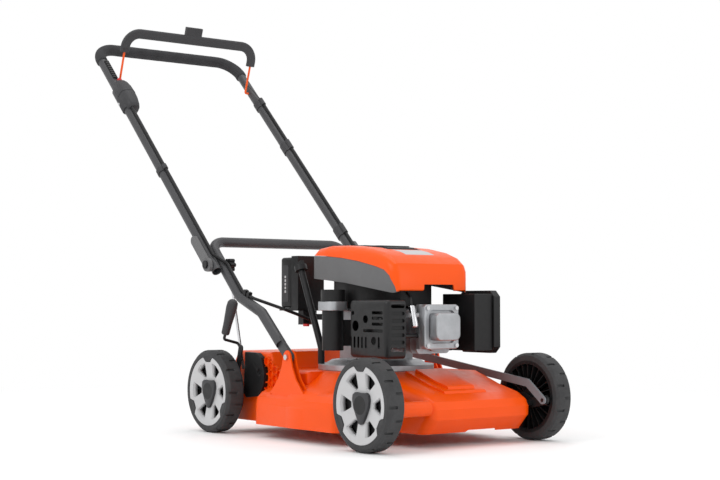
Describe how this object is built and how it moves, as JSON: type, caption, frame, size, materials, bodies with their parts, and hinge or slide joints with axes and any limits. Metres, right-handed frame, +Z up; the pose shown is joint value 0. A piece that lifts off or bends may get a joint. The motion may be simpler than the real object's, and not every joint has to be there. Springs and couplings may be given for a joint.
{
  "type": "push lawn mower",
  "caption": "Walk-behind petrol rotary mower with an orange pressed deck, upright engine, battery starter, four wheels with central height lever, and a folding tube handle with a bail.",
  "frame": {"origin": "on the ground under the middle of the whole machine", "axes": "+X forward, +Y to the operator's left, +Z up"},
  "size_m": [1.4096, 0.532, 1.1021],
  "materials": {
    "deck_orange": "glossy",
    "cowl_orange": "glossy",
    "tube_grey": "satin",
    "black_plastic": "moulded",
    "grey_plastic": "moulded",
    "dark_plastic": "moulded",
    "rim_grey": "moulded",
    "tyre": "moulded",
    "foam": "soft",
    "cast_alloy": "cast",
    "bright_steel": "zinc plated",
    "black_steel": "satin",
    "link_steel": "satin",
    "rod_orange": "powder coat",
    "button_red": "glossy"
  },
  "bodies": {
    "chassis": {"deck": "deck_orange", "adjuster_cover": "black_plastic", "handle_stay": "bright_steel", "fixed_bolts": "bright_steel", "lower_handle": "tube_grey", "lower_cables": "black_plastic", "lower_clips": "black_plastic", "engine_base": "cast_alloy", "cylinder": "cast_alloy", "valve_cover": "cast_alloy", "spark_plug": "bright_steel", "muffler": "bright_steel", "muffler_guard": "black_steel", "blower_housing": "black_plastic", "top_cover": "cowl_orange", "cover_vent": "dark_plastic", "side_panels": "grey_plastic", "fuel_tank": "black_plastic", "starter_motor": "black_plastic", "oil_tube": "black_plastic", "battery_mount": "black_plastic", "carburettor": "black_plastic", "filter_box": "black_plastic", "filter_element": "foam"},
    "rotor": {"crankshaft": "bright_steel", "flywheel": "cast_alloy", "blade": "black_steel", "blade_bolt": "bright_steel"},
    "rear_axle": {"rear_axle": "black_steel"},
    "front_axle": {"front_axle": "black_steel"},
    "link": {"height_link": "link_steel"},
    "lever": {"height_lever": "black_steel", "lever_grip": "dark_plastic"},
    "upper_handle": {"upper_handle": "tube_grey", "foam_grip": "foam", "joint_brackets": "grey_plastic", "cable_clips": "dark_plastic", "control_pod": "grey_plastic", "upper_cables": "black_plastic"},
    "left_knob": {"left_knob": "black_plastic"},
    "right_knob": {"right_knob": "black_plastic"},
    "bail": {"bail_bar": "dark_plastic", "bail_rods": "rod_orange"},
    "start_button": {"start_button": "button_red"},
    "battery": {"battery": "black_plastic"},
    "fuel_cap": {"fuel_cap": "black_plastic"},
    "oil_cap": {"oil_cap": "black_plastic"},
    "filter_cover": {"filter_cover": "black_plastic"},
    "front_right_wheel": {"front_right_tyre": "tyre", "front_right_wheel": "black_plastic", "front_right_rim": "rim_grey"},
    "front_left_wheel": {"front_left_tyre": "tyre", "front_left_wheel": "black_plastic", "front_left_rim": "rim_grey"},
    "rear_right_wheel": {"rear_right_tyre": "tyre", "rear_right_wheel": "black_plastic", "rear_right_rim": "rim_grey"},
    "rear_left_wheel": {"rear_left_tyre": "tyre", "rear_left_wheel": "black_plastic", "rear_left_rim": "rim_grey"}
  },
  "joints": [
    {"name": "crankshaft_spin", "type": "hinge", "parent": "chassis", "child": "rotor", "pos_m": [0.31981, 0, 0.15], "axis": [0, 0, 1], "continuous": true},
    {"name": "height_adjust", "type": "hinge", "parent": "chassis", "child": "rear_axle", "pos_m": [0.01981, 0, 0.088], "axis": [0, -1, 0], "range_deg": [-15, 65]},
    {"name": "front_axle_swing", "type": "hinge", "parent": "chassis", "child": "front_axle", "pos_m": [0.63481, 0, 0.088], "axis": [0, -1, 0], "range_deg": [-15, 65]},
    {"name": "link_swing", "type": "hinge", "parent": "rear_axle", "child": "link", "pos_m": [0.06281, 0.199, 0.096], "axis": [0, -1, 0], "range_deg": [-65, 15]},
    {"name": "lever_release", "type": "hinge", "parent": "rear_axle", "child": "lever", "pos_m": [0.02581, -0.211, 0.078], "axis": [1, 0, 0], "range_deg": [0, 3], "stiffness_Nm_per_rad": 6, "springref_deg": -1.15},
    {"name": "front_right_wheel_spin", "type": "hinge", "parent": "front_axle", "child": "front_right_wheel", "pos_m": [0.60481, -0.243, 0.1], "axis": [0, 1, 0], "continuous": true},
    {"name": "front_left_wheel_spin", "type": "hinge", "parent": "front_axle", "child": "front_left_wheel", "pos_m": [0.60481, 0.243, 0.1], "axis": [0, 1, 0], "continuous": true},
    {"name": "rear_right_wheel_spin", "type": "hinge", "parent": "rear_axle", "child": "rear_right_wheel", "pos_m": [-0.01019, -0.243, 0.1], "axis": [0, 1, 0], "continuous": true},
    {"name": "rear_left_wheel_spin", "type": "hinge", "parent": "rear_axle", "child": "rear_left_wheel", "pos_m": [-0.01019, 0.243, 0.1], "axis": [0, 1, 0], "continuous": true},
    {"name": "handle_fold", "type": "hinge", "parent": "chassis", "child": "upper_handle", "pos_m": [-0.03819, 0, 0.4095], "axis": [0, 1, 0], "range_deg": [0, 140]},
    {"name": "left_knob_turn", "type": "hinge", "parent": "upper_handle", "child": "left_knob", "pos_m": [-0.03819, 0.185, 0.4095], "axis": [0, 1, 0], "continuous": true},
    {"name": "right_knob_turn", "type": "hinge", "parent": "upper_handle", "child": "right_knob", "pos_m": [-0.03819, -0.185, 0.4095], "axis": [0, 1, 0], "continuous": true},
    {"name": "bail_squeeze", "type": "hinge", "parent": "upper_handle", "child": "bail", "pos_m": [-0.58253, 0, 0.937], "axis": [0, -1, 0], "range_deg": [0, 50], "stiffness_Nm_per_rad": 1.5, "springref_deg": -34.38},
    {"name": "start_button_press", "type": "slide", "parent": "upper_handle", "child": "start_button", "axis": [0.7181, 0, -0.6959], "range_m": [0, 0.004], "stiffness_N_per_m": 300, "springref_m": -0.001},
    {"name": "battery_lift", "type": "slide", "parent": "chassis", "child": "battery", "axis": [0, 0, 1], "range_m": [0, 0.13]},
    {"name": "fuel_cap_turn", "type": "hinge", "parent": "chassis", "child": "fuel_cap", "pos_m": [0.25581, 0.044, 0.43], "axis": [0, 0, 1], "continuous": true},
    {"name": "oil_cap_turn", "type": "hinge", "parent": "chassis", "child": "oil_cap", "pos_m": [0.17681, -0.116, 0.392], "axis": [-0.3853, -0.0203, 0.9226], "continuous": true},
    {"name": "filter_cover_pull", "type": "slide", "parent": "chassis", "child": "filter_cover", "axis": [0, 1, 0], "range_m": [0, 0.05]}
  ],
  "couplings": [
    {"joint": "front_axle_swing", "follows": "height_adjust", "ratio": 1},
    {"joint": "link_swing", "follows": "height_adjust", "ratio": -1}
  ]
}
